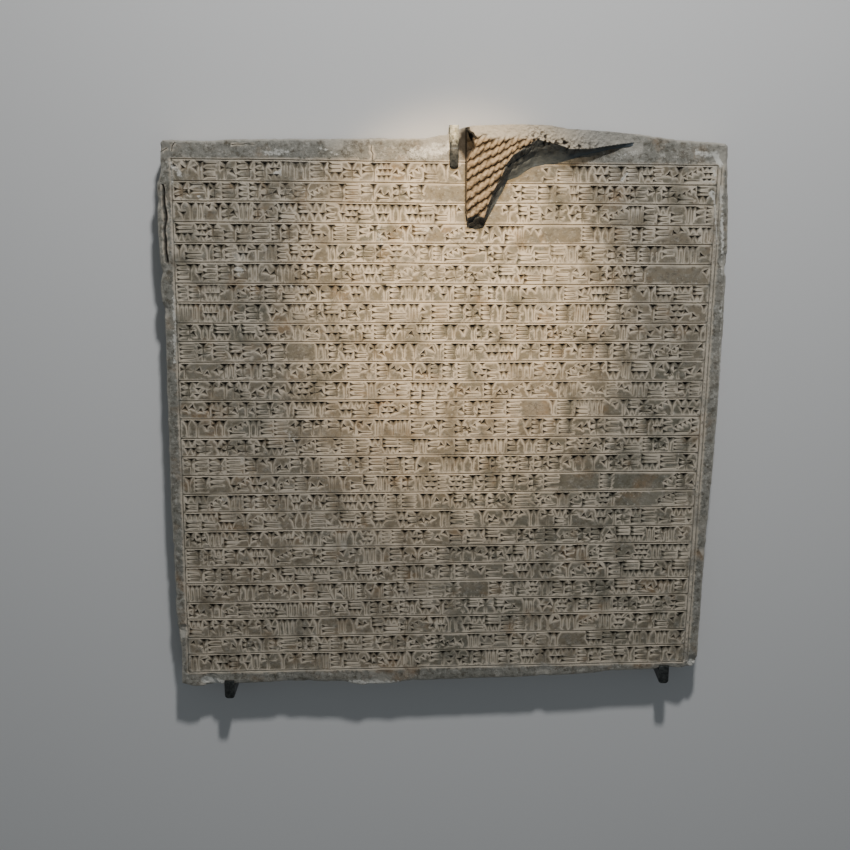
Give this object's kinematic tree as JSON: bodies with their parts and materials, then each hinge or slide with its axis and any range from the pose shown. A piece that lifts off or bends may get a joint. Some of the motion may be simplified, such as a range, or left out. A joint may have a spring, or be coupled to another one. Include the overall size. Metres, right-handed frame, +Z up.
{
  "type": "inscribed stone slab",
  "caption": "Weathered stone slab ruled into rows of shallow wedge strokes, with a carved belly fragment and hair tuft at its head edge, in three edge clips.",
  "frame": {"origin": "middle of the whole outline, on the surface that the clips' back plates rest on", "axes": "+Z up, out of the inscribed face; +Y towards the head edge with the carved tuft; +X to the right of someone reading the face"},
  "size_m": [1.2854, 1.3712, 0.1484],
  "materials": {
    "stone": "weathered sawn stone, grey-green and brown, mottled with ochre",
    "clip_steel": "worn black paint on steel bar"
  },
  "bodies": {
    "root": {"slab": "stone", "top_clip": "clip_steel", "bottom_clip_left": "clip_steel", "bottom_clip_right": "clip_steel"}
  },
  "joints": []
}
